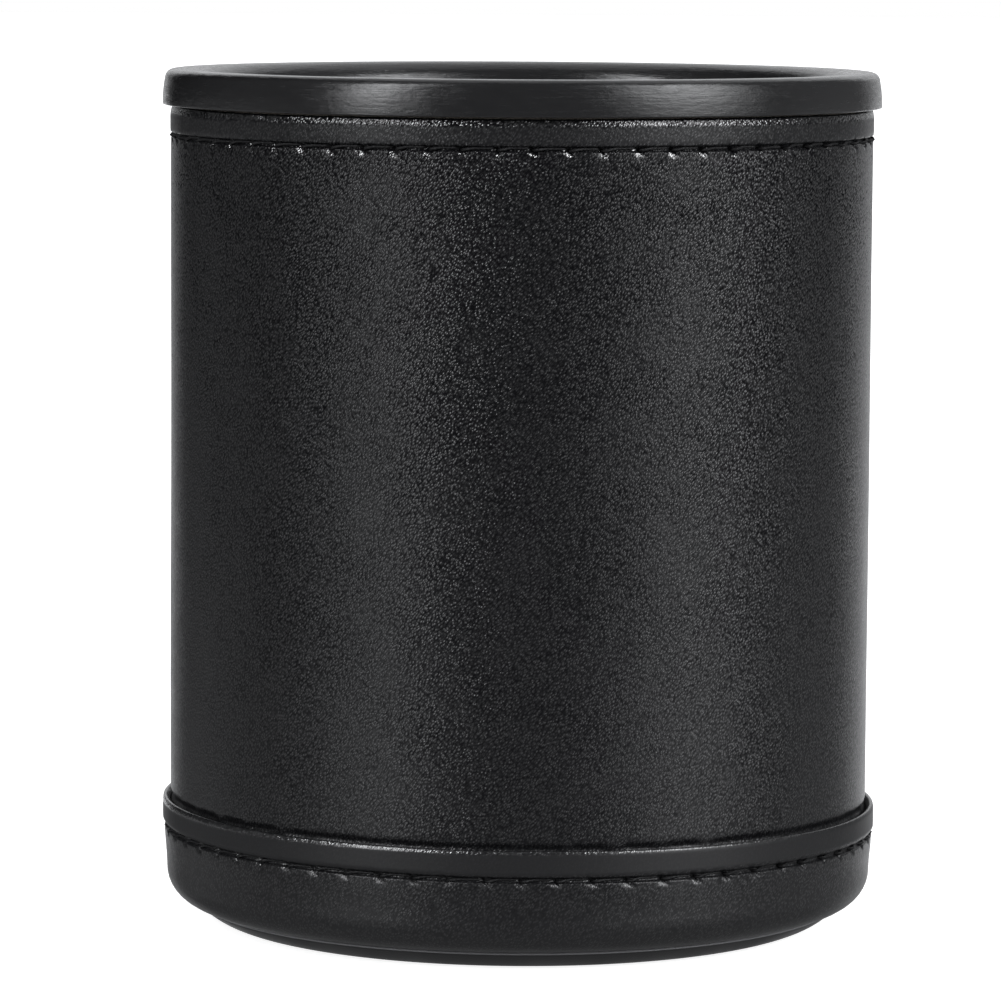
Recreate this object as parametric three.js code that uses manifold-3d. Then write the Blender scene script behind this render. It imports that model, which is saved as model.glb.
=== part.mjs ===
// A round dice cup: a rigid tube with a base board, lined with felt and wrapped in stitched leather,
// closed by a moulded mouth ring above and a moulded cap below.
// Millimetres, +Z up, origin at the centre of the flat underside.

import * as THREE from 'three';
import { mergeVertices } from 'three/addons/utils/BufferGeometryUtils.js';
import Module from 'manifold-3d';

const wasm = await Module();
wasm.setup();

// ---- Driving dimensions ----

const CUP_HEIGHT = 97.5;
const WALL_RADIUS = 40; // outside of the leather wall
const FIT = 0.05; // clearance between two glued layers
const FACETS = 60; // facets round every turned piece

const rim = {
  radius: 40.95, // widest, just above the flange's lower edge
  depth: 4, // flange height that shows
  draft: 0.25, // how much narrower the flange is at its top
  outerRound: 1.1,
  innerRound: 2.7,
  lowerRound: 0.25,
  bore: 35.2,
  skirtEnd: 86, // height of the skirt's lower end inside the tube
};

const leather = {
  thickness: 0.95,
  hemProud: 0.22, // the turned top edge stands this much outside the wall
  hemRound: 0.6,
  edgeGap: 0.2, // shadow gap between the turned edge and the flange
  lowerEdge: 8.4, // the wall's lower edge, hidden under the band
};

const tube = { thickness: 2.1 };

const felt = { thickness: 1.45, floorThickness: 1 };

const pad = { thickness: 2 };

const band = {
  top: 14.1,
  radius: 40.95, // at the folded top edge
  foldRound: 0.45,
  footRadius: 40.45, // where the corner starts to turn under
  corner: 3.8,
  thickness: 1.2, // where it lies on the tube and under the board
  underside: 2.3,
  turnUnder: 29, // inner radius of the turned-under margin
};

const board = { thickness: 2.5, plugHeight: 2 };

const cap = {
  radius: 36.8,
  flatRadius: 32, // the flat that the cup stands on
  upperRound: 0.2,
};

const stitching = {
  sides: 4,
  stepsPerStitch: 2,
  needleRadius: 0.24,
  needleSwell: 0.08, // how far the thread rises over a stitch and dips at a hole
  bobbinRadius: 0.14,
  groove: 0.36, // half the width of the groove's floor
  grooveFlare: 0.24, // how far each side of the groove leans out
};
const hemSeam = { height: 90.2, stitches: 65, depth: 0.38 };
const bandSeam = { height: 11, stitches: 64, radius: 40.76, depth: 0.4 };

const JOINT_GAP = 0.3; // where the two ends of a wrapped strip meet
const WALL_JOINT_DEG = 90;
const BAND_JOINT_DEG = 72;

// ---- Derived sizes ----

const leatherBore = WALL_RADIUS - leather.thickness;
const tubeRadius = leatherBore - FIT;
const tubeBore = tubeRadius - tube.thickness;
const linerRadius = tubeBore - FIT;
const flangeUnderside = CUP_HEIGHT - rim.depth;
const cornerCentre = {
  radius: band.footRadius - band.corner,
  height: band.underside + band.corner,
};
const boardBottom = band.underside + band.thickness + FIT;
const boardShoulder = boardBottom + board.thickness;
const plugTop = boardShoulder + board.plugHeight;
const padBottom = plugTop + FIT;
const floorBottom = padBottom + pad.thickness + FIT;
const floorTop = floorBottom + felt.floorThickness;

// ---- Materials ----

const material = (color, roughness) => new THREE.MeshStandardMaterial({ color, roughness, metalness: 0 });

const blackPlastic = () => material(0x1b1b1c, 0.35);
const blackLeather = () => material(0x222223, 0.5);
const blackThread = () => material(0x0c0c0d, 0.35);
const charcoalFelt = () => material(0x2a2a2c, 0.95);
const greyBoard = () => material(0x77716a, 0.9);
const darkFoam = () => material(0x3c3c3f, 0.95);

// ---- Shape helpers ----

// Points [radius, height] along an arc in the profile plane; 0 degrees points outwards, 90 up.
function arc(radius, height, size, fromDeg, toDeg, steps = 4) {
  const points = [];
  for (let i = 0; i <= steps; i++) {
    const angle = THREE.MathUtils.degToRad(fromDeg + ((toDeg - fromDeg) * i) / steps);
    points.push([radius + size * Math.cos(angle), height + size * Math.sin(angle)]);
  }
  return points;
}

// Turns a profile about the Z axis. It runs counter-clockwise: out, up, in, and down again.
function turned(profile) {
  const points = profile.map(([radius, height]) => new THREE.Vector2(radius, height));
  return new THREE.LatheGeometry(points, FACETS).rotateX(Math.PI / 2);
}

// A ring: a profile that stays off the axis and closes on itself.
function turnedRing(profile) {
  return turned([...profile, profile[0]]);
}

function toSolid(geometry) {
  const bare = geometry.clone();
  bare.deleteAttribute('normal');
  bare.deleteAttribute('uv');
  const merged = mergeVertices(bare);
  return new wasm.Manifold(
    new wasm.Mesh({
      numProp: 3,
      vertProperties: merged.attributes.position.array,
      triVerts: new Uint32Array(merged.index.array),
    }),
  );
}

function toGeometry(solid) {
  const mesh = solid.getMesh();
  const geometry = new THREE.BufferGeometry();
  geometry.setAttribute('position', new THREE.BufferAttribute(mesh.vertProperties, 3));
  geometry.setIndex(new THREE.BufferAttribute(mesh.triVerts, 1));
  geometry.computeVertexNormals();
  return geometry;
}

// Opens a wrapped ring where the two ends of its strip meet, at one angle round the cup.
function withJoint(geometry, angleDeg) {
  const slit = new THREE.BoxGeometry(WALL_RADIUS, JOINT_GAP, 2 * CUP_HEIGHT);
  slit.translate(WALL_RADIUS, 0, CUP_HEIGHT / 2);
  slit.rotateZ(THREE.MathUtils.degToRad(angleDeg));
  return toGeometry(toSolid(geometry).subtract(toSolid(slit)));
}

// The section of a stitch groove sunk into an outer face, from its lower lip to its upper lip.
function stitchGroove(height, floorRadius, lowerLip, upperLip) {
  const half = stitching.groove;
  const lip = half + stitching.grooveFlare;
  return [
    [lowerLip, height - lip],
    [floorRadius, height - half],
    [floorRadius, height + half],
    [upperLip, height + lip],
  ];
}

// The section of the narrow groove that holds a bobbin thread in the leather's inner face, downwards.
function bobbinGroove(height) {
  const half = stitching.bobbinRadius + FIT;
  const floorRadius = leatherBore + 2 * stitching.bobbinRadius + 2 * FIT;
  return [
    [leatherBore, height + half + FIT],
    [floorRadius, height + half],
    [floorRadius, height - half],
    [leatherBore, height - half - FIT],
  ];
}

// ---- Pieces ----

function rimRing() {
  const topRadius = rim.radius - rim.draft;
  return turnedRing([
    [rim.bore, rim.skirtEnd],
    [linerRadius, rim.skirtEnd],
    [linerRadius, flangeUnderside],
    [rim.radius - rim.lowerRound, flangeUnderside],
    [rim.radius, flangeUnderside + rim.lowerRound],
    ...arc(topRadius - rim.outerRound, CUP_HEIGHT - rim.outerRound, rim.outerRound, 0, 90),
    ...arc(rim.bore + rim.innerRound, CUP_HEIGHT - rim.innerRound, rim.innerRound, 90, 180, 5),
  ]);
}

function coreTube() {
  return turnedRing([
    [tubeBore, boardShoulder + FIT],
    [tubeRadius, boardShoulder + FIT],
    [tubeRadius, flangeUnderside - FIT],
    [tubeBore, flangeUnderside - FIT],
  ]);
}

function baseBoard() {
  const corner = tubeRadius - cornerCentre.radius;
  return turned([
    [0, boardBottom],
    ...arc(cornerCentre.radius, boardBottom + corner, corner, -90, 0),
    [tubeRadius, boardShoulder],
    [linerRadius, boardShoulder],
    [linerRadius, plugTop],
    [0, plugTop],
  ]);
}

function wallLeather() {
  const top = flangeUnderside - leather.edgeGap;
  const hemRadius = WALL_RADIUS + leather.hemProud;
  const ring = turnedRing([
    [leatherBore, leather.lowerEdge],
    [WALL_RADIUS, leather.lowerEdge],
    ...stitchGroove(hemSeam.height, WALL_RADIUS - hemSeam.depth, WALL_RADIUS, hemRadius),
    ...arc(hemRadius - leather.hemRound, top - leather.hemRound, leather.hemRound, 0, 90),
    [leatherBore, top],
    ...bobbinGroove(hemSeam.height),
    ...bobbinGroove(bandSeam.height),
  ]);
  return withJoint(ring, WALL_JOINT_DEG);
}

function baseBand() {
  const bore = WALL_RADIUS + FIT;
  const ledge = leather.lowerEdge - FIT;
  const innerCorner = leatherBore - cornerCentre.radius;
  const innerCornerHeight = band.underside + band.thickness + innerCorner;
  const foldRadius = band.radius - band.foldRound;
  const foldHeight = band.top - band.foldRound;
  const ring = turnedRing([
    [band.turnUnder, band.underside],
    ...arc(cornerCentre.radius, cornerCentre.height, band.corner, -90, 0),
    ...stitchGroove(bandSeam.height, bandSeam.radius - bandSeam.depth, bandSeam.radius, bandSeam.radius),
    ...arc(foldRadius, foldHeight, band.foldRound, 0, 180),
    [bore, ledge],
    [leatherBore, ledge],
    ...arc(cornerCentre.radius, innerCornerHeight, innerCorner, 0, -90),
    [band.turnUnder, band.underside + band.thickness],
  ]);
  return withJoint(ring, BAND_JOINT_DEG);
}

// A moulded cap whose boss fills the middle of the turned-under leather. Its underside curves up from the
// flat to the flange's edge in one arc.
function baseCap() {
  const flangeTop = band.underside - FIT;
  const bossRadius = band.turnUnder - JOINT_GAP;
  const rise = flangeTop - cap.upperRound;
  const reach = cap.radius - cap.flatRadius;
  const curve = (reach ** 2 + rise ** 2) / (2 * rise);
  const sweep = THREE.MathUtils.radToDeg(Math.asin(reach / curve));
  return turned([
    [0, 0],
    ...arc(cap.flatRadius, curve, curve, -90, sweep - 90),
    [cap.radius - cap.upperRound, flangeTop],
    [bossRadius, flangeTop],
    [bossRadius, boardBottom - FIT],
    [0, boardBottom - FIT],
  ]);
}

function liningWall() {
  const inner = linerRadius - felt.thickness;
  const ring = turnedRing([
    [inner, floorTop + FIT],
    [linerRadius, floorTop + FIT],
    [linerRadius, rim.skirtEnd - FIT],
    [inner, rim.skirtEnd - FIT],
  ]);
  return withJoint(ring, WALL_JOINT_DEG);
}

function disc(bottom, thickness) {
  return turned([
    [0, bottom],
    [linerRadius, bottom],
    [linerRadius, bottom + thickness],
    [0, bottom + thickness],
  ]);
}

// The thread on the outside of a seam: it rises over each stitch and dips at each hole.
function needleThread(radius, height, stitches) {
  const { needleRadius, needleSwell, sides, stepsPerStitch } = stitching;
  const geometry = new THREE.TorusGeometry(radius, needleRadius, sides, stitches * stepsPerStitch);
  const position = geometry.attributes.position;
  const point = new THREE.Vector3();
  for (let i = 0; i < position.count; i++) {
    point.fromBufferAttribute(position, i);
    const angle = Math.atan2(point.y, point.x);
    const scale = 1 + (needleSwell * Math.cos(stitches * angle)) / radius;
    position.setXYZ(i, point.x * scale, point.y * scale, point.z + height);
  }
  return geometry;
}

// The thread on the hidden side of a seam, bedded in the leather's inner face.
function bobbinThread(height) {
  const radius = leatherBore + stitching.bobbinRadius + FIT;
  const geometry = new THREE.TorusGeometry(radius, stitching.bobbinRadius, stitching.sides, FACETS);
  return geometry.translate(0, 0, height);
}

// A needle thread's centre line stands above the groove's floor by its radius, its dip and a clearance.
const threadStand = stitching.needleRadius + stitching.needleSwell + FIT;
const hemThreadRadius = WALL_RADIUS - hemSeam.depth + threadStand;
const bandThreadRadius = bandSeam.radius - bandSeam.depth + threadStand;

const pieces = [
  ['rim_ring', rimRing(), blackPlastic()],
  ['core_tube', coreTube(), greyBoard()],
  ['base_board', baseBoard(), greyBoard()],
  ['wall_leather', wallLeather(), blackLeather()],
  ['hem_needle_thread', needleThread(hemThreadRadius, hemSeam.height, hemSeam.stitches), blackThread()],
  ['hem_bobbin_thread', bobbinThread(hemSeam.height), blackThread()],
  ['base_band', baseBand(), blackLeather()],
  ['band_needle_thread', needleThread(bandThreadRadius, bandSeam.height, bandSeam.stitches), blackThread()],
  ['band_bobbin_thread', bobbinThread(bandSeam.height), blackThread()],
  ['base_cap', baseCap(), blackPlastic()],
  ['lining_wall', liningWall(), charcoalFelt()],
  ['lining_floor', disc(floorBottom, felt.floorThickness), charcoalFelt()],
  ['floor_pad', disc(padBottom, pad.thickness), darkFoam()],
];

const diceCup = new THREE.Group();
for (const [name, geometry, surface] of pieces) {
  const mesh = new THREE.Mesh(geometry, surface);
  mesh.name = name;
  diceCup.add(mesh);
}

export default diceCup;
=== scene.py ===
"""A leather dice cup: the looks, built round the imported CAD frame. Metres, +Z up, the front towards -Y."""

import math

import bpy
import numpy as np
from mathutils import Matrix, Vector


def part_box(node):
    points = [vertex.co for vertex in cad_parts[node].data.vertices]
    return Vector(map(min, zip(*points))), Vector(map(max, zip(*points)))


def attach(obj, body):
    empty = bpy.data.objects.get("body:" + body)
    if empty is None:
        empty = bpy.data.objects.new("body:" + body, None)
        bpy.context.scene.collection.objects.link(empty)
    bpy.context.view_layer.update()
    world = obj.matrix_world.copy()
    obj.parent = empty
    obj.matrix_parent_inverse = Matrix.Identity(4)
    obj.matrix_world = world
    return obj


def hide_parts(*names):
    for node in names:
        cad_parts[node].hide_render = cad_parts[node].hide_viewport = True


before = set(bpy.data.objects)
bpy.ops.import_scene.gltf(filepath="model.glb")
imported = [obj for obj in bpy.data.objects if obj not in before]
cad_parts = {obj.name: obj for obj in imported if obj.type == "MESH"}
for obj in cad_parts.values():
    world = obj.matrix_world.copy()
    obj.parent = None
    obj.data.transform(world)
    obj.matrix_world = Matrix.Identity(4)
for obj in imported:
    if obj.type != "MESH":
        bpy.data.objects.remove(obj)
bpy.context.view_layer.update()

MM = 0.001
TURN = 2 * math.pi
BACK = TURN / 4  # the angle round the cup, from +X, at which the leather's ends meet


# ---- Sizes, in millimetres, read from the frame ----


def extent(node):
    """A node's outer radius, lowest height and highest height."""
    low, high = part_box(node)
    return high.x / MM, low.z / MM, high.z / MM


RIM_RADIUS, SKIRT_END, CUP_TOP = extent("rim_ring")
HEM_RADIUS, WALL_BOTTOM, WALL_TOP = extent("wall_leather")
BAND_RADIUS, BAND_BOTTOM, BAND_TOP = extent("base_band")
CAP_RADIUS, CAP_BOTTOM, BOSS_TOP = extent("base_cap")
LINER_RADIUS, LINING_BOTTOM, LINING_TOP = extent("lining_wall")
FLOOR_RADIUS, FLOOR_BOTTOM, FLOOR_TOP = extent("lining_floor")
PAD_RADIUS, PAD_BOTTOM, PAD_TOP = extent("floor_pad")
TUBE_RADIUS, _, TUBE_TOP = extent("core_tube")


def mid_height(node):
    """The height of the middle of a node."""
    _, low, high = extent(node)
    return (low + high) / 2


HEM_SEAM = mid_height("hem_needle_thread")
BAND_SEAM = mid_height("band_needle_thread")

FIT = 0.05  # between two glued pieces
LEATHER_BORE = TUBE_RADIUS + FIT
HEM_PROUD = 0.22  # how far the frame's hem stands outside its wall
WALL_RADIUS = HEM_RADIUS - HEM_PROUD
SLEEVE_THICKNESS = 1.45

BAND_SWAY = 0.3  # the band sits this much higher on the left, seen from the front, and lower on the right
BAND_JOINT = BACK - math.radians(18)  # the band's ends meet beside the wall's
HEM_LEVEL = 0.08  # the hem's seam is measured from this far outside the wall
SEAM_LEVEL = 0.22  # the leather at the band's seam lies this far inside the band's widest line

HEM_STITCHES = 65
BAND_STITCHES = 64
HOLE_SLANT = math.radians(-46)  # the leather is drawn into a slanting slot at each stitch hole
COLUMNS_PER_STITCH = 20


# ---- Camera, lights and floor ----

# The camera's place, in millimetres
CAMERA_DISTANCE = 653.6
CAMERA_HEIGHT = 114.9
CAMERA_SIDE = -2.23

CAMERA_PITCH_DEG = 5.83
CAMERA_ROLL_DEG = 0.34
FIELD_OF_VIEW_DEG = 10.0


def make_camera():
    """The camera stands in front of the cup, a little above it, and looks slightly down."""
    data = bpy.data.cameras.new("camera")
    data.sensor_width = 36
    data.angle = math.radians(FIELD_OF_VIEW_DEG)
    data.clip_start = 0.05
    data.clip_end = 20
    camera = bpy.data.objects.new("camera", data)
    place = Matrix.Translation(Vector((CAMERA_SIDE, -CAMERA_DISTANCE, CAMERA_HEIGHT)) * MM)
    tilt = Matrix.Rotation(math.radians(90 - CAMERA_PITCH_DEG), 4, "X")
    roll = Matrix.Rotation(math.radians(CAMERA_ROLL_DEG), 4, "Z")
    camera.matrix_world = place @ tilt @ roll
    bpy.context.collection.objects.link(camera)
    bpy.context.scene.camera = camera


class World:
    """A small writer for the world's node tree: brightness by azimuth and elevation, both given in degrees.

    Azimuth 0 is the camera's side and positive azimuths are to the camera's right.
    """

    def __init__(self):
        self.world = bpy.data.worlds.new("studio")
        self.world.use_nodes = True
        self.tree = self.world.node_tree
        self.tree.nodes.clear()
        direction = self.tree.nodes.new("ShaderNodeTexCoord").outputs["Generated"]
        split = self.tree.nodes.new("ShaderNodeSeparateXYZ")
        self.tree.links.new(direction, split.inputs[0])
        self.rightwards, self.backwards, upwards = split.outputs
        self.azimuth = self.math("ARCTAN2", self.rightwards, self.math("MULTIPLY", self.backwards, -1.0))
        self.elevation = self.math("DEGREES", self.math("ARCSINE", upwards))

    def math(self, operation, a, b=0.0):
        """One sum; each input is a number or another node's output."""
        node = self.tree.nodes.new("ShaderNodeMath")
        node.operation = operation
        for target, value in zip(node.inputs, (a, b)):
            if isinstance(value, bpy.types.NodeSocket):
                self.tree.links.new(value, target)
            else:
                target.default_value = value
        return node.outputs[0]

    def ramp(self, value, start, end, first, last):
        """Goes smoothly from one brightness to another."""
        node = self.tree.nodes.new("ShaderNodeMapRange")
        node.interpolation_type = "SMOOTHSTEP"
        self.tree.links.new(value, node.inputs["Value"])
        for key, number in zip(("From Min", "From Max", "To Min", "To Max"), (start, end, first, last)):
            node.inputs[key].default_value = number
        return node.outputs["Result"]

    def window(self, centre, half_width, softness):
        """1 within half_width of an azimuth, fading to 0 over softness on each side."""
        turned = self.math("SUBTRACT", self.azimuth, math.radians(centre))
        away = self.math("DEGREES", self.math("ARCCOSINE", self.math("COSINE", turned)))
        return self.ramp(away, half_width - softness, half_width + softness, 1.0, 0.0)

    def add(self, *parts):
        """The sum of several brightnesses."""
        total = parts[0]
        for part in parts[1:]:
            total = self.math("ADD", total, part)
        return total


def studio_brightness(w):
    """Two tall softboxes, white paper that rises behind the cup and over it, and dim light from the rest.

    A window has a middle azimuth, half a width and a softness. A ramp has two elevations and the brightness
    at each.
    """
    left = w.math("MULTIPLY", w.window(-48.5, 7.5, 3.5), w.ramp(w.elevation, -8, 30, 2.5, 16.5))
    right = w.math("MULTIPLY", w.window(55, 16, 9), w.ramp(w.elevation, -8, 30, 1.6, 11.5))
    tall = w.math("MULTIPLY", w.ramp(w.elevation, 38, 55, 1.0, 0.0), w.ramp(w.elevation, -35, -18, 0.0, 1.0))
    softboxes = w.math("MULTIPLY", w.add(left, right), tall)

    off_middle = w.math("ABSOLUTE", w.math("SUBTRACT", w.rightwards, 0.09))
    within = w.ramp(off_middle, 0.38, 0.52, 1.0, 0.0)
    paper = w.math("MULTIPLY", within, w.ramp(w.backwards, -0.1, 0.1, 0.0, 1.0))
    above_table = w.ramp(w.elevation, -30, -14, 0.0, 1.0)
    near_table = w.math("MULTIPLY", w.ramp(w.elevation, -9, 0, 1.1, 0.0), above_table)
    paper = w.math("MULTIPLY", paper, w.add(w.ramp(w.elevation, -40, 30, 0.05, 1.1), near_table))

    front = w.math("MULTIPLY", w.window(0, 110, 30), w.ramp(w.elevation, -12, 5, 0.31, 0.25))
    left_side = w.math("MULTIPLY", w.window(-115, 30, 15), w.ramp(w.elevation, -10, -2, 0.5, 0.03))
    right_side = w.math("MULTIPLY", w.window(115, 25, 12), w.ramp(w.elevation, -10, -2, 0.5, 0.22))
    sides = w.math("MULTIPLY", w.add(left_side, right_side), above_table)
    table = w.ramp(w.elevation, -15, -45, 0.0, 0.3)
    return w.add(softboxes, paper, front, sides, table)


def make_world():
    """The camera sees white; the cup is lit by the studio."""
    w = World()
    output = w.tree.nodes.new("ShaderNodeOutputWorld")
    seen = w.tree.nodes.new("ShaderNodeBackground")
    seen.inputs["Color"].default_value = (1, 1, 1, 1)
    lighting = w.tree.nodes.new("ShaderNodeBackground")
    lighting.inputs["Color"].default_value = (0.97, 0.98, 1, 1)
    w.tree.links.new(studio_brightness(w), lighting.inputs["Strength"])
    path = w.tree.nodes.new("ShaderNodeLightPath")
    mix = w.tree.nodes.new("ShaderNodeMixShader")
    w.tree.links.new(path.outputs["Is Camera Ray"], mix.inputs["Fac"])
    w.tree.links.new(lighting.outputs[0], mix.inputs[1])
    w.tree.links.new(seen.outputs[0], mix.inputs[2])
    w.tree.links.new(mix.outputs[0], output.inputs["Surface"])
    bpy.context.scene.world = w.world
    bpy.context.scene.view_settings.view_transform = "Standard"


def make_floor():
    """A wide pale disc that the cup stands on, clear from below so that the underside can be looked at."""
    bpy.ops.mesh.primitive_circle_add(vertices=96, radius=6, fill_type="NGON")
    floor = bpy.context.object
    floor.name = "floor"
    material = bpy.data.materials.new("floor_paper")
    material.use_nodes = True
    tree = material.node_tree
    shader = tree.nodes["Principled BSDF"]
    shader.inputs["Base Color"].default_value = (0.6, 0.6, 0.6, 1)
    shader.inputs["Emission Color"].default_value = (1, 1, 1, 1)
    shader.inputs["Emission Strength"].default_value = 0.85
    shader.inputs["Roughness"].default_value = 0.9
    clear = tree.nodes.new("ShaderNodeBsdfTransparent")
    facing = tree.nodes.new("ShaderNodeNewGeometry")
    mix = tree.nodes.new("ShaderNodeMixShader")
    tree.links.new(facing.outputs["Backfacing"], mix.inputs["Fac"])
    tree.links.new(shader.outputs[0], mix.inputs[1])
    tree.links.new(clear.outputs[0], mix.inputs[2])
    tree.links.new(mix.outputs[0], tree.nodes["Material Output"].inputs["Surface"])
    floor.data.materials.append(material)
    floor.visible_glossy = False
    floor.visible_diffuse = False
    floor.visible_shadow = False


# ---- Materials ----


class Nodes:
    """A small writer for one material's node tree."""

    def __init__(self, name):
        self.material = bpy.data.materials.new(name)
        self.material.use_nodes = True
        self.tree = self.material.node_tree
        self.shader = self.tree.nodes["Principled BSDF"]

    def add(self, kind, **settings):
        """A new node, with its settings."""
        node = self.tree.nodes.new(kind)
        for key, value in settings.items():
            setattr(node, key, value)
        return node

    def link(self, source, target):
        self.tree.links.new(source, target)

    def put(self, target, value):
        """Sets an input to a number, or links it to another node's output."""
        if isinstance(value, bpy.types.NodeSocket):
            self.link(value, target)
        else:
            target.default_value = value

    def math(self, operation, a, b=0.0, c=0.0):
        """One sum; each input is a number or another node's output."""
        node = self.add("ShaderNodeMath", operation=operation)
        for target, value in zip(node.inputs, (a, b, c)):
            self.put(target, value)
        return node.outputs[0]

    def split(self, vector):
        """A vector's three parts."""
        node = self.add("ShaderNodeSeparateXYZ")
        self.link(vector, node.inputs[0])
        return node.outputs

    def vector(self, x, y, z):
        node = self.add("ShaderNodeCombineXYZ")
        for target, value in zip(node.inputs, (x, y, z)):
            self.put(target, value)
        return node.outputs[0]

    def mapped(self, vector, rotation=(0, 0, 0), scale=(1, 1, 1)):
        node = self.add("ShaderNodeMapping")
        self.link(vector, node.inputs["Vector"])
        node.inputs["Rotation"].default_value = rotation
        node.inputs["Scale"].default_value = scale
        return node.outputs[0]

    def noise(self, vector, scale, detail=2.0, roughness=0.5):
        node = self.add("ShaderNodeTexNoise")
        self.link(vector, node.inputs["Vector"])
        node.inputs["Scale"].default_value = scale
        node.inputs["Detail"].default_value = detail
        node.inputs["Roughness"].default_value = roughness
        return node.outputs["Fac"]

    def cells(self, vector, scale, randomness=1.0):
        """Each point's distance from the middle of its cell, and the cell's own random colour."""
        node = self.add("ShaderNodeTexVoronoi", feature="F1")
        self.link(vector, node.inputs["Vector"])
        node.inputs["Scale"].default_value = scale
        node.inputs["Randomness"].default_value = randomness
        return node.outputs["Distance"], node.outputs["Color"]

    def ranged(self, value, low, high, new_low, new_high):
        """Maps a value from one range to another, and holds it there."""
        node = self.add("ShaderNodeMapRange")
        self.link(value, node.inputs["Value"])
        limits = (low, high, new_low, new_high)
        for key, number in zip(("From Min", "From Max", "To Min", "To Max"), limits):
            node.inputs[key].default_value = number
        return node.outputs["Result"]

    def colour(self, share, first, second):
        """Colours the material between two colours, by a share from 0 to 1."""
        node = self.add("ShaderNodeMix", data_type="RGBA")
        self.put(node.inputs["Factor"], share)
        node.inputs["A"].default_value = (*first, 1)
        node.inputs["B"].default_value = (*second, 1)
        self.link(node.outputs["Result"], self.shader.inputs["Base Color"])

    def bump(self, height, distance):
        """Gives the material relief whose height is in units of distance metres."""
        node = self.add("ShaderNodeBump")
        self.link(height, node.inputs["Height"])
        node.inputs["Distance"].default_value = distance
        node.inputs["Strength"].default_value = 1.0
        self.link(node.outputs["Normal"], self.shader.inputs["Normal"])

    def position(self):
        """The point in millimetres."""
        coordinates = self.add("ShaderNodeTexCoord")
        scaled = self.add("ShaderNodeVectorMath", operation="SCALE")
        self.link(coordinates.outputs["Object"], scaled.inputs[0])
        scaled.inputs["Scale"].default_value = 1 / MM
        return scaled.outputs[0]

    def round_the_cup(self):
        """Millimetres round the wall, up it and out from the axis; the wrap comes at the back."""
        x, y, z = self.split(self.position())
        angle = self.math("ARCTAN2", x, self.math("MULTIPLY", y, -1))
        radius = self.math("SQRT", self.math("ADD", self.math("POWER", x, 2), self.math("POWER", y, 2)))
        return self.vector(self.math("MULTIPLY", angle, WALL_RADIUS), z, radius)


def drawn_tight(n, place, seam_height, stitches, sway, shine):
    """The shine of the slanting patch below each hole of a seam, where the leather is drawn tight."""
    patch_aside, patch_up = -0.04, -0.6
    half_length, half_width = 0.85, 0.4
    pitch = TURN * WALL_RADIUS / stitches
    round_wall, height, _ = n.split(place)
    count = n.math("MULTIPLY_ADD", round_wall, 1 / pitch, -stitches / 4)
    from_hole = n.math("SUBTRACT", count, n.math("ROUND", count))
    across = n.math("MULTIPLY_ADD", from_hole, pitch, -patch_aside)
    side = n.math("SINE", n.math("MULTIPLY", round_wall, 1 / WALL_RADIUS))
    up = n.math("ADD", n.math("MULTIPLY", side, sway), n.math("SUBTRACT", height, seam_height + patch_up))
    cosine, sine = math.cos(HOLE_SLANT), math.sin(HOLE_SLANT)
    along = n.math("MULTIPLY_ADD", across, cosine, n.math("MULTIPLY", up, sine))
    aside = n.math("MULTIPLY_ADD", across, -sine, n.math("MULTIPLY", up, cosine))
    length, width = n.math("DIVIDE", along, half_length), n.math("DIVIDE", aside, half_width)
    away = n.math("ADD", n.math("MULTIPLY", length, length), n.math("MULTIPLY", width, width))
    return n.ranged(away, 0.3, 1.0, shine, 0.0)


def pebbles(n, place):
    """Slanting pebbles: their peaks, how far each one swells, and the wrinkles that run across them."""
    drift = n.add("ShaderNodeTexNoise")
    n.link(place, drift.inputs["Vector"])
    drift.inputs["Scale"].default_value = 0.4
    wander = n.add("ShaderNodeVectorMath", operation="MULTIPLY_ADD")
    n.link(drift.outputs["Color"], wander.inputs[0])
    wander.inputs[1].default_value = (0.5, 0.5, 0.3)
    n.link(place, wander.inputs[2])
    slanted = n.mapped(wander.outputs[0], rotation=(0, 0, math.radians(-52)))
    distance, own_colour = n.cells(n.mapped(slanted, scale=(2.6, 4.9, 3.0)), 1.0, 0.9)
    dome = n.ranged(distance, 0.05, 0.75, 1.0, 0.0)
    peaks = n.math("POWER", dome, 1.8)
    swell = n.ranged(own_colour, 0.3, 0.75, 0.85, 1.22)
    wrinkles = n.noise(n.mapped(slanted, scale=(0.9, 2.2, 1.4)), 1.0, 3.0, 0.6)
    return peaks, swell, wrinkles


def grain_strength(n, place, strip_bottom, strip_top, strip_grain):
    """How strong the grain is: cloudy, weaker in the drawn strip, and weaker towards the foot."""
    _, height, _ = n.split(place)
    edge = 0.15
    clouds = n.noise(place, 0.16, 3.0, 0.6)
    cloudy = n.ranged(clouds, 0.36, 0.6, 0.9, 1.1)
    above = n.ranged(height, strip_bottom - edge, strip_bottom + edge, 0.0, 1.0)
    below = n.ranged(height, strip_top - edge, strip_top + edge, 1.0, 0.0)
    drawn = n.math("SUBTRACT", 1.0, n.math("MULTIPLY", n.math("MULTIPLY", above, below), 1 - strip_grain))
    wall = n.ranged(height, 20.0, WALL_TOP, 0.75, 1.1)
    foot = n.ranged(height, 3.0, 20.0, 0.3, 1.1)
    return n.math("MULTIPLY", n.math("MULTIPLY", cloudy, drawn), n.math("MINIMUM", wall, foot))


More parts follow.
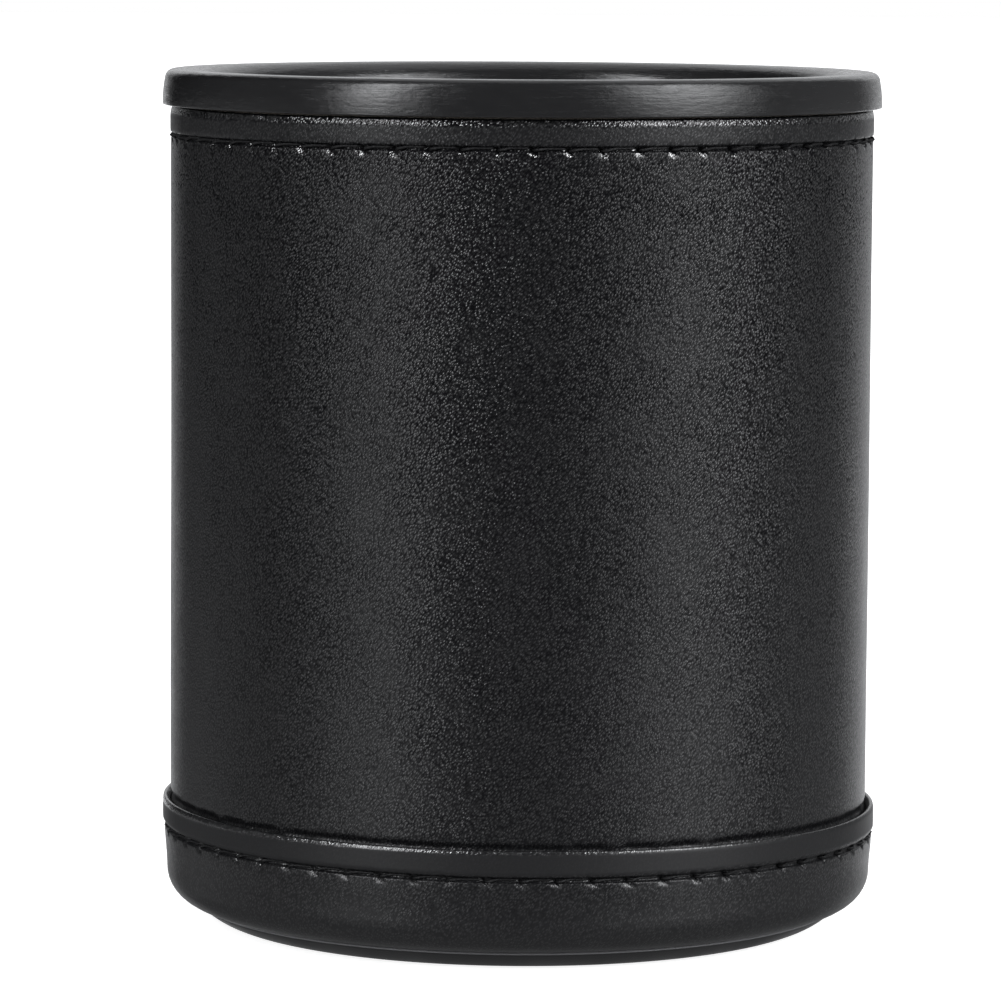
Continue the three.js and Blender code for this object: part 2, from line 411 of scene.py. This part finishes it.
def leather_material(name, strip, burnished_from, seam):
    """Black pebbled leather: short slanting grains in clouds of stronger and weaker relief.

    The strip, folded and drawn smooth, is its bottom, its top and the share of the grain that is left.
    Above burnished_from the fold is rubbed to a shine.
    The seam is its height, its number of stitches, its sway and the shine at its holes.
    """
    n = Nodes(name)
    place = n.round_the_cup()
    peaks, swell, wrinkles = pebbles(n, place)
    strength = n.math("MULTIPLY", grain_strength(n, place, *strip), swell)
    n.bump(n.math("ADD", n.math("MULTIPLY", peaks, strength), n.math("MULTIPLY", wrinkles, 0.4)), 0.000036)

    middle = 0.38
    # Painted shade: the colour is painted darker in the pebbles' valleys, standing for the shade in the
    # hollows of the grain, and the gloss is lowered there by the same mask.
    painted_valley_shade = n.math("MULTIPLY", n.math("SUBTRACT", peaks, middle), strength)
    n.colour(n.math("ADD", painted_valley_shade, middle), (0.0035, 0.0035, 0.0040), (0.0115, 0.0115, 0.0122))

    _, height, _ = n.split(place)
    edge_highlight = n.ranged(height, burnished_from, burnished_from + 0.15, 0.0, 1.0)
    burnish = n.math("MAXIMUM", edge_highlight, drawn_tight(n, place, *seam))
    dull = n.ranged(strength, 0.1, 1.1, 0.5, 0.28)
    n.link(n.math("SUBTRACT", dull, n.math("MULTIPLY", burnish, 0.12)), n.shader.inputs["Roughness"])
    gloss = n.math("ADD", n.math("MULTIPLY", painted_valley_shade, 0.75), 0.36)
    gloss = n.math("MULTIPLY", gloss, n.ranged(strength, 0.05, 0.6, 0.64, 1.0))
    gloss = n.math("MULTIPLY", gloss, n.math("MULTIPLY_ADD", burnish, 2.4, 1.0))
    n.link(gloss, n.shader.inputs["Specular IOR Level"])
    return n.material


def rim_material():
    """Black moulded plastic, rubbed round: faint streaks along the ring and cloudy patches of gloss."""
    n = Nodes("rim_plastic")
    place = n.round_the_cup()
    streaks = n.noise(n.mapped(place, scale=(0.3, 5.0, 5.0)), 1.0, 5.0, 0.65)
    clouds = n.noise(n.mapped(place, scale=(0.6, 1.8, 1.8)), 1.0, 4.0, 0.65)
    n.colour(clouds, (0.0055, 0.0055, 0.006), (0.0075, 0.0075, 0.008))
    gloss = n.math("ADD", n.ranged(streaks, 0.3, 0.7, -0.08, 0.08), n.ranged(clouds, 0.3, 0.7, 0.17, 0.25))
    n.link(gloss, n.shader.inputs["Roughness"])
    n.shader.inputs["Specular IOR Level"].default_value = 0.37
    relief = n.math("ADD", n.math("MULTIPLY", streaks, 0.6), clouds)
    n.bump(relief, 0.00005)
    return n.material


def cap_material():
    """Black moulded plastic with a fine satin texture, and a pale line painted beside the leather: a painted
    highlight on the flange's edge.
    """
    n = Nodes("cap_plastic")
    place = n.position()
    speckle = n.noise(place, 4.0, 3.0, 0.6)
    clouds = n.noise(place, 0.15, 2.0)
    _, _, height = n.split(place)
    # Painted highlight: the colour is painted pale in a thin line at the flange's top edge, beside the
    # leather.
    edge_highlight = n.ranged(height, BAND_BOTTOM - 0.35, BAND_BOTTOM - 0.25, 0.0, 1.0)
    n.colour(edge_highlight, (0.007, 0.007, 0.0075), (0.14, 0.14, 0.145))
    n.link(n.ranged(clouds, 0.3, 0.7, 0.42, 0.52), n.shader.inputs["Roughness"])
    n.shader.inputs["Specular IOR Level"].default_value = 0.22
    n.bump(speckle, 0.00002)
    return n.material


def thread_material():
    """Waxed black thread with fine fibres."""
    n = Nodes("black_thread")
    fibres = n.noise(n.position(), 14.0, 3.0, 0.6)
    n.colour(fibres, (0.003, 0.003, 0.0035), (0.006, 0.006, 0.0065))
    n.link(n.ranged(fibres, 0.3, 0.7, 0.5, 0.65), n.shader.inputs["Roughness"])
    n.shader.inputs["Specular IOR Level"].default_value = 0.2
    n.bump(fibres, 0.00002)
    return n.material


def felt_material():
    """Short charcoal pile, brushed unevenly."""
    n = Nodes("charcoal_felt")
    place = n.position()
    pile = n.noise(place, 7.0, 4.0, 0.75)
    tufts = n.noise(place, 1.6, 3.0, 0.6)
    brushed = n.noise(place, 0.09, 3.0)
    mottled = n.math("ADD", n.math("ADD", pile, tufts), n.math("MULTIPLY", brushed, 0.5))
    n.colour(n.ranged(mottled, 0.95, 1.55, 0.0, 1.0), (0.006, 0.006, 0.007), (0.040, 0.040, 0.043))
    n.shader.inputs["Roughness"].default_value = 1.0
    n.shader.inputs["Specular IOR Level"].default_value = 0.1
    n.link(n.ranged(mottled, 0.95, 1.55, 0.08, 0.5), n.shader.inputs["Sheen Weight"])
    n.shader.inputs["Sheen Roughness"].default_value = 0.45
    n.shader.inputs["Sheen Tint"].default_value = (0.5, 0.5, 0.54, 1)
    relief = n.math("ADD", pile, n.math("MULTIPLY", tufts, 0.8))
    n.bump(relief, 0.00022)
    return n.material


def board_material():
    """Raw grey board, with pressed fibres."""
    n = Nodes("core_board")
    place = n.position()
    fibres = n.noise(n.mapped(place, scale=(1, 1, 3)), 1.2, 5.0, 0.7)
    n.colour(fibres, (0.12, 0.105, 0.09), (0.24, 0.215, 0.185))
    n.shader.inputs["Roughness"].default_value = 0.9
    n.bump(fibres, 0.00006)
    return n.material


def foam_material():
    """Dark closed-cell foam."""
    n = Nodes("dark_foam")
    place = n.position()
    bubbles, _ = n.cells(place, 1.6)
    n.colour(bubbles, (0.03, 0.03, 0.031), (0.06, 0.06, 0.062))
    n.shader.inputs["Roughness"].default_value = 0.85
    n.bump(bubbles, 0.00012)
    return n.material


MATERIALS = {
    "wall_leather": leather_material(
        "wall_leather", (HEM_SEAM + 0.3, WALL_TOP - 0.9, 0.5), WALL_TOP - 0.84,
        (HEM_SEAM, HEM_STITCHES, 0.0, 1.8),
    ),
    "band_leather": leather_material(
        "band_leather", (BAND_SEAM + 0.4, BAND_TOP - 0.45, 0.15), BAND_TOP - 0.42,
        (BAND_SEAM, BAND_STITCHES, BAND_SWAY, 0.4),
    ),
    "rim_plastic": rim_material(),
    "cap_plastic": cap_material(),
    "black_thread": thread_material(),
    "charcoal_felt": felt_material(),
    "core_board": board_material(),
    "dark_foam": foam_material(),
}


# ---- Mesh helpers; lengths here are millimetres ----


def add_piece(name, points, faces, material, node):
    """Makes a smooth mesh object that stands for one CAD node."""
    mesh = bpy.data.meshes.new(name)
    mesh.from_pydata((np.asarray(points) * MM).tolist(), [], faces)
    mesh.validate()
    mesh.polygons.foreach_set("use_smooth", [True] * len(mesh.polygons))
    mesh.materials.append(MATERIALS[material])
    piece = bpy.data.objects.new(name, mesh)
    bpy.context.collection.objects.link(piece)
    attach(piece, "root")
    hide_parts(node)
    return piece


def arc(radius, height, size, start_deg, end_deg, steps):
    """Points (radius, height) on an arc in the profile plane; 0 degrees is outwards, 90 up."""
    turn = np.radians(np.linspace(start_deg, end_deg, steps + 1))
    return list(zip(radius + size * np.cos(turn), height + size * np.sin(turn)))


def line(start, end, steps):
    """Evenly spaced points from start towards end, without the end itself."""
    share = np.linspace(0, 1, steps, endpoint=False)[:, None]
    return [tuple(p) for p in np.array(start) + share * (np.array(end) - np.array(start))]


def ring_faces(rows, columns):
    """Faces between the rows of a closed section swept right round, with the section counter-clockwise."""
    faces = []
    for row in range(rows):
        above = (row + 1) % rows
        for column in range(columns):
            beside = (column + 1) % columns
            faces.append((
                row * columns + column,
                row * columns + beside,
                above * columns + beside,
                above * columns + column,
            ))
    return faces


def ring_points(profile, angles, reshape=None):
    """A section swept right round; reshape(radius, height, angle) gives the final radius and height."""
    radius, height = (np.array(column)[:, None] for column in zip(*profile))
    angle = angles[None, :]
    radius, height = radius + 0 * angle, height + 0 * angle
    if reshape is not None:
        radius, height = reshape(radius, height, angle)
    points = np.stack([radius * np.cos(angle), radius * np.sin(angle), height], axis=-1)
    return points.reshape(-1, 3)


def ring_piece(name, profile, columns, material, node, reshape=None):
    """A turned ring, from a closed section."""
    angles = np.arange(columns) * TURN / columns
    points = ring_points(profile, angles, reshape)
    return add_piece(name, points, ring_faces(len(profile), columns), material, node)


def disc_piece(name, profile, columns, material, node, reshape=None):
    """A turned solid: its profile starts and ends on the axis, and runs counter-clockwise."""
    angles = np.arange(columns) * TURN / columns
    body = ring_points(profile[1:-1], angles, reshape)
    rows = len(profile) - 2
    faces = ring_faces(rows, columns)[: (rows - 1) * columns]
    bottom, top = len(body), len(body) + 1
    last = (rows - 1) * columns
    for column in range(columns):
        beside = (column + 1) % columns
        faces.append((bottom, beside, column))
        faces.append((top, last + column, last + beside))
    points = np.vstack([body, [(0, 0, profile[0][1]), (0, 0, profile[-1][1])]])
    return add_piece(name, points, faces, material, node)


def bell(value, width):
    """1 at 0, falling smoothly away on both sides."""
    return np.exp(-((value / width) ** 2))


def step(value, low, high):
    """0 below low, 1 above high, smooth between."""
    share = np.clip((value - low) / (high - low), 0, 1)
    return share * share * (3 - 2 * share)


def lean_in(height, lean_deg):
    """How far a face that starts to lean at height 0 has moved in, with a soft start."""
    softness = 0.06
    return math.tan(math.radians(lean_deg)) * (np.sqrt(height**2 + softness**2) + height) / 2


def ripple(angle, height, seed, size, waves=9):
    """Slow uneven waves over a wrapped surface, the same ones each run."""
    draw = np.random.default_rng(seed)
    total = 0
    for _ in range(waves):
        around, up, phase = draw.integers(2, 11), draw.uniform(-0.12, 0.12), draw.uniform(0, TURN)
        total = total + np.sin(around * angle + up * height + phase)
    return size * total / math.sqrt(waves)


# ---- Seams ----


class Seam:
    """One row of lockstitches: where its holes are, how it pulls the leather in, and its stitches."""

    def __init__(self, height, stitches, radius, seed, sway=0.0):
        self.height, self.stitches, self.radius, self.sway = height, stitches, radius, sway
        self.pitch = TURN * radius / stitches
        draw = np.random.default_rng(seed)
        self.rise = draw.normal(0, 0.05, stitches)
        self.shift = draw.normal(0, 0.025, stitches)
        self.tension = 1 + draw.normal(0, 0.1, stitches)

    def line_height(self, angle):
        """The seam's height round the cup: it leans a little towards one side."""
        return self.height - self.sway * np.cos(angle)

    def beside_hole(self, angle, height):
        """Millimetres sideways and upwards from the nearest hole, and that hole's tension."""
        place = angle / TURN * self.stitches
        nearest = np.round(place).astype(int) % self.stitches
        across = (place - np.round(place) - self.shift[nearest]) * self.pitch
        up = height - self.line_height(angle) - self.rise[nearest]
        return across, up, self.tension[nearest]

    def pull(self, angle, height):
        """How far the leather's surface moves outwards: a narrow groove, and a slanting slot at each hole.

        The slot's upper side is steep and has a raised brow, and a shallow dish slopes into its lower side.
        """
        groove_depth, slot_depth, dish_depth, brow_height = 0.38, 0.38, 0.16, 0.08
        slot_across, slot_up = 0.14, -0.42
        across, up, tension = self.beside_hole(angle, height)
        off_line = height - self.line_height(angle)
        groove = -groove_depth * (1 - step(off_line, 0.08, 0.22)) * (1 - step(-off_line, 0.32, 0.5))
        cosine, sine = math.cos(HOLE_SLANT), math.sin(HOLE_SLANT)
        along = (across - slot_across) * cosine + (up - slot_up) * sine
        aside = -(across - slot_across) * sine + (up - slot_up) * cosine
        slot = -slot_depth * bell(along, 0.58) * (1 - step(aside, 0.22, 0.4)) * (1 - step(-aside, -0.04, 0.1))
        beside_slot = (1 - step(aside, 0.05, 0.25)) * step(aside, -0.75, -0.4)
        dish = -dish_depth * bell(along, 0.75) * beside_slot * step(up, -1.35, -0.35)
        brow = brow_height * bell(along, 0.4) * bell(aside - 0.42, 0.16)
        return tension * (slot + dish + brow) + groove

    def stitch_path(self, index, share):
        """The middle of one stitch, and the way out from the cup beside it.

        A stitch comes up low out of a hole, leans over and goes into the next.
        """
        following = (index + 1) % self.stitches
        start = index + self.shift[index] + 0.05
        end = index + 1 + self.shift[following] - 0.02
        angle = (start + (end - start) * share) * TURN / self.stitches
        low, high = -0.3 + self.rise[index], -0.06 + self.rise[following]
        height = self.line_height(angle) + low + (high - low) * step(share, -0.1, 0.45)
        ends = np.clip(1 - share / 0.1, 0, 1) ** 1.5 + np.clip(1 - (1 - share) / 0.16, 0, 1) ** 1.5
        sunk = 0.29 + 0.14 * step(share, 0.25, 0.6) - 0.22 * bell(share - 0.13, 0.1)
        radius = self.radius - sunk - 0.6 * ends
        path = np.stack([radius * np.cos(angle), radius * np.sin(angle), height], axis=-1)
        outwards = np.stack([np.cos(angle), np.sin(angle), 0 * angle], axis=-1)
        return path, outwards

    def stitch_points(self, index, thickness, rounds, steps):
        """The surface of one stitch: a three-ply thread, twisted."""
        plies, ply_relief, twists = 3, 0.16, 2.3
        share = np.linspace(0, 1, steps + 1)
        path, out = self.stitch_path(index, share)
        along = np.gradient(path, axis=0)
        along /= np.linalg.norm(along, axis=1)[:, None]
        side = np.cross(along, out)
        side /= np.linalg.norm(side, axis=1)[:, None]
        out = np.cross(side, along)
        turn = np.arange(rounds) * TURN / rounds
        twist = share[:, None] * TURN * twists
        size = thickness / 2 * (1 + ply_relief * np.cos(plies * (turn[None, :] - twist)))
        flat = out[:, None, :] * np.cos(turn)[None, :, None] * size[:, :, None]
        wide = side[:, None, :] * np.sin(turn)[None, :, None] * size[:, :, None]
        return (path[:, None, :] + flat + wide).reshape(-1, 3)

    def stitches_piece(self, name, node, thickness=0.31, rounds=12, steps=32):
        """All the stitches of the row, each a closed thread whose ends are down in the holes."""
        points, faces = [], []
        for index in range(self.stitches):
            first = index * rounds * (steps + 1)
            points.append(self.stitch_points(index, thickness, rounds, steps))
            for row in range(steps):
                for column in range(rounds):
                    beside = (column + 1) % rounds
                    low = first + row * rounds
                    faces.append((low + column, low + rounds + column, low + rounds + beside, low + beside))
            faces.append(tuple(first + column for column in range(rounds)))
            last = first + steps * rounds
            faces.append(tuple(last + column for column in reversed(range(rounds))))
        return add_piece(name, np.vstack(points), faces, "black_thread", node)


hem_seam = Seam(HEM_SEAM, HEM_STITCHES, WALL_RADIUS + HEM_LEVEL, 3)
band_seam = Seam(BAND_SEAM, BAND_STITCHES, BAND_RADIUS - SEAM_LEVEL, 5, BAND_SWAY)


# ---- Leather ----


def back_joint(angle, where):
    """The closed joint where the leather's two ends meet: a fine groove with softly raised edges."""
    depth, width, edge_rise = 0.35, 0.32, 0.05
    off = (angle - where) * WALL_RADIUS
    return -depth * bell(off, width) + edge_rise * bell(np.abs(off) - 1.1, 0.7)


def wall_leather():
    """The wall's leather: plain, drawn in just above the band, and with a hem above its seam."""
    fold_height, fold_reach = 0.25, 0.35
    hem_stand, hem_lean, lean_depth = 0.07, 11, 0.82
    crease_depth, crease_width = 0.34, 0.5

    def hem(height):
        """Almost flush with the wall, and leaning inwards near its top edge."""
        return WALL_RADIUS + hem_stand - lean_in(height - (WALL_TOP - lean_depth), hem_lean)

    def reshape(radius, height, angle):
        """The outer face is drawn in and rippled, and the top edge wanders a little."""
        outer = step(radius, WALL_RADIUS - 0.75, WALL_RADIUS - 0.6)
        change = hem_seam.pull(angle, height) + back_joint(angle, BACK)
        change = change + ripple(angle, height, 11, 0.028)
        off_crease = height - BAND_TOP - 0.05 + BAND_SWAY * np.cos(angle)
        squeeze = step(ripple(angle * 5, height, 13, 0.5), -1.6, 0.4)
        squeezed = -crease_depth * bell(off_crease, crease_width) * squeeze
        top = step(height, WALL_TOP - fold_height, WALL_TOP)
        height = height + top * ripple(angle, 0 * height, 12, 0.03)
        return radius + outer * (change + squeezed), height

    seam_side = 0.6
    below, above, fold = HEM_SEAM - 2.3, HEM_SEAM + seam_side, WALL_TOP - fold_height
    profile = [(LEATHER_BORE, WALL_BOTTOM), (WALL_RADIUS, WALL_BOTTOM)]
    profile += line((WALL_RADIUS, BAND_TOP - 1.0), (WALL_RADIUS, BAND_TOP + 1.6), 15)
    profile += line((WALL_RADIUS, BAND_TOP + 1.6), (WALL_RADIUS, below), 6)
    profile += line((WALL_RADIUS, below), (WALL_RADIUS, HEM_SEAM), 19)
    profile += line((WALL_RADIUS, HEM_SEAM), (hem(above), above), 5)
    profile += [(hem(height), height) for height in np.linspace(above, fold, 9)[:-1]]
    profile += [
        (hem(fold) - fold_reach * (1 - math.cos(turn)), fold + fold_height * math.sin(turn))
        for turn in np.linspace(0, math.pi / 2, 7)
    ]
    profile += [(LEATHER_BORE, WALL_TOP), (LEATHER_BORE, HEM_SEAM)]
    return ring_piece(
        "leather_wall", profile, HEM_STITCHES * COLUMNS_PER_STITCH,
        "wall_leather", "wall_leather", reshape,
    )


def base_band():
    """The band: a folded shoulder, a padded strip, a seam, the foot, and a margin turned under the base."""
    bore = WALL_RADIUS + FIT
    foot_radius, corner = BAND_RADIUS - 0.5, 3.8
    centre = foot_radius - corner
    thickness = 1.2
    inner = LEATHER_BORE - centre
    roll, lean, lean_depth = 0.25, 14, 0.46
    slope = math.radians(lean)
    shoulder = BAND_TOP - roll * (1 - math.sin(slope))
    turned_to = 29.0

    def outline(height):
        """The outer face: the foot, easing out to the seam, then the padded strip, leaning in at its top."""
        eased = (BAND_RADIUS - SEAM_LEVEL - foot_radius) * step(height, 6.0, BAND_SEAM - 0.4)
        out = eased + SEAM_LEVEL * step(height, BAND_SEAM + 0.1, BAND_SEAM + 0.6)
        return foot_radius + out - lean_in(height - (BAND_TOP - lean_depth), lean)

    def reshape(radius, height, angle):
        """The seam follows the lean of the band, so its pull is worked out at the leaned height."""
        leaned = height - step(height, 5.0, 10.0) * BAND_SWAY * np.cos(angle)
        outer = step(radius, WALL_RADIUS + 0.1, WALL_RADIUS + 0.25) * step(height, 4.0, 7.0)
        change = band_seam.pull(angle, leaned) + back_joint(angle, BAND_JOINT)
        change = change + ripple(angle, height, 21, 0.03)
        wave = step(height, 9.0, BAND_TOP) * ripple(angle, 0 * height, 22, 0.05)
        return radius + outer * change, leaned + wave

    profile = line((turned_to, BAND_BOTTOM), (centre, BAND_BOTTOM), 3)
    profile += arc(centre, BAND_BOTTOM + corner, corner, -90, 0, 10)
    profile += [(outline(height), height) for height in np.linspace(6.3, BAND_SEAM - 2.4, 3)]
    profile += [(outline(height), height) for height in np.linspace(BAND_SEAM - 2.2, BAND_SEAM + 0.55, 24)]
    profile += [(outline(height), height) for height in np.linspace(BAND_SEAM + 0.8, shoulder, 20)[:-1]]
    profile += arc(outline(shoulder) - roll * math.cos(slope), BAND_TOP - roll, roll, lean, 150, 7)
    profile += [(bore + 0.05, BAND_TOP - 0.5), (bore, BAND_TOP - 0.9)]
    profile += [(bore, WALL_BOTTOM - FIT), (LEATHER_BORE, WALL_BOTTOM - FIT)]
    profile += arc(centre, BAND_BOTTOM + thickness + inner, inner, 0, -90, 4)
    profile += [(turned_to, BAND_BOTTOM + thickness)]
    return ring_piece(
        "leather_band", profile, BAND_STITCHES * COLUMNS_PER_STITCH,
        "band_leather", "base_band", reshape,
    )


# ---- Plastic, felt and foam ----


def rim_ring():
    """The mouth ring: a flange with a slight draft and a fuller inner edge, and its skirt inside."""
    outer_round, inner_round, lower_round, foot_round = 1.0, 2.7, 0.12, 0.4
    draft, crown_from_deg = 0.25, 12
    bore, edge = 35.2, 0.1
    underside = TUBE_TOP + FIT
    face_low, face_high = underside + lower_round, CUP_TOP - outer_round
    profile = [(bore + foot_round, SKIRT_END)]
    profile += [(LINER_RADIUS, SKIRT_END), (LINER_RADIUS, SKIRT_END + edge)]
    profile += [(LINER_RADIUS, underside - edge), (LINER_RADIUS, underside), (LINER_RADIUS + edge, underside)]
    profile += arc(RIM_RADIUS - lower_round, face_low, lower_round, -90, 0, 5)
    for share in np.linspace(0, 1, 12)[1:-1]:
        profile.append((RIM_RADIUS - draft * share**2.6, face_low + share * (face_high - face_low)))
    profile += arc(RIM_RADIUS - draft - outer_round, face_high, outer_round, crown_from_deg, 90, 14)
    profile += arc(bore + inner_round, CUP_TOP - inner_round, inner_round, 90, 180, 20)
    profile += arc(bore + foot_round, SKIRT_END + foot_round, foot_round, 180, 265, 4)
    return ring_piece("mouth_ring", profile, 360, "rim_plastic", "rim_ring")


def base_cap():
    """The cap: a flat to stand on, one curve up to the flange's edge, and a boss above."""
    reach, upper = 4.8, 0.25
    flange_top = BAND_BOTTOM - FIT
    flat = CAP_RADIUS - reach
    boss, edge = 28.7, 0.1
    rise = flange_top - upper
    curve = (reach**2 + rise**2) / (2 * rise)
    sweep = math.degrees(math.asin(reach / curve))
    profile = [(0, CAP_BOTTOM), (12, CAP_BOTTOM), (24, CAP_BOTTOM), (flat - 1, CAP_BOTTOM)]
    profile += arc(flat, CAP_BOTTOM + curve, curve, -90, sweep - 90, 16)
    profile += arc(CAP_RADIUS - upper, flange_top - upper, upper, 0, 90, 5)[1:]
    profile += [(boss + edge, flange_top), (boss, flange_top), (boss, flange_top + edge)]
    profile += [(boss, BOSS_TOP - edge), (boss, BOSS_TOP), (boss - edge, BOSS_TOP), (0, BOSS_TOP)]
    return disc_piece("base_cap_disc", profile, 360, "cap_plastic", "base_cap")


def lining_wall():
    """The felt sleeve, with a soft top edge and the joint of its two ends at the back."""
    inner = LINER_RADIUS - SLEEVE_THICKNESS
    soft = 0.45

    def reshape(radius, height, angle):
        """Only the face towards the dice has a nap and shows the joint."""
        facing = step(-radius, -inner - 0.7, -inner - 0.2)
        joint = 0.5 * bell((angle - BACK) * inner, 0.5)
        nap = ripple(angle, height, 31, 0.05) + ripple(angle * 3, height * 3, 32, 0.03)
        return radius + facing * (joint + nap), height

    profile = [(inner, LINING_BOTTOM), (LINER_RADIUS, LINING_BOTTOM), (LINER_RADIUS, LINING_TOP)]
    profile += arc(inner + soft, LINING_TOP - soft, soft, 90, 180, 6)
    profile += line((inner, LINING_TOP - soft - 1), (inner, LINING_BOTTOM + 1), 40)
    profile += [(inner, LINING_BOTTOM + 1)]
    return ring_piece("felt_sleeve", profile, 480, "charcoal_felt", "lining_wall", reshape)


def soft_disc(name, radius, bottom, top, edge, fullness, material, node):
    """A soft disc with rounded edges, a little fuller in the middle."""

    def reshape(distance, height, angle):
        """The top is fuller in the middle, and a little uneven."""
        upper = step(height, (bottom + top) / 2, top)
        dome = fullness * (1 - (distance / radius) ** 2)
        return distance, height + upper * (dome + ripple(angle, distance, 41, 0.02) * distance / radius)

    profile = [(0, bottom)] + line((6, bottom), (radius - edge, bottom), 4)
    profile += arc(radius - edge, bottom + edge, edge, -90, 0, 4)
    profile += arc(radius - edge, top - edge, edge, 0, 90, 4)
    profile += line((radius - edge - 1, top), (2, top), 16)
    profile += [(0, top + fullness)]
    return disc_piece(name, profile, 240, material, node, reshape)


# ---- Assembly ----


def retouch(node, material):
    """Gives a CAD node that stays its finished material."""
    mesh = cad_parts[node].data
    mesh.materials.clear()
    mesh.materials.append(MATERIALS[material])


make_camera()
make_world()
make_floor()

wall = wall_leather()
hem_stitches = hem_seam.stitches_piece("hem_stitches", "hem_needle_thread")
band = base_band()
band_stitches = band_seam.stitches_piece("band_stitches", "band_needle_thread")
rim_ring()
base_cap()
sleeve = lining_wall()
floor_felt = soft_disc(
    "felt_floor", FLOOR_RADIUS, FLOOR_BOTTOM, FLOOR_TOP - 0.15, 0.3, 0.15,
    "charcoal_felt", "lining_floor",
)
foam = soft_disc(
    "foam_pad", PAD_RADIUS, PAD_BOTTOM, PAD_TOP, 0.3, 0.0, "dark_foam", "floor_pad",
)
for board in ("core_tube", "base_board"):
    retouch(board, "core_board")
for thread in ("hem_bobbin_thread", "band_bobbin_thread"):
    retouch(thread, "black_thread")
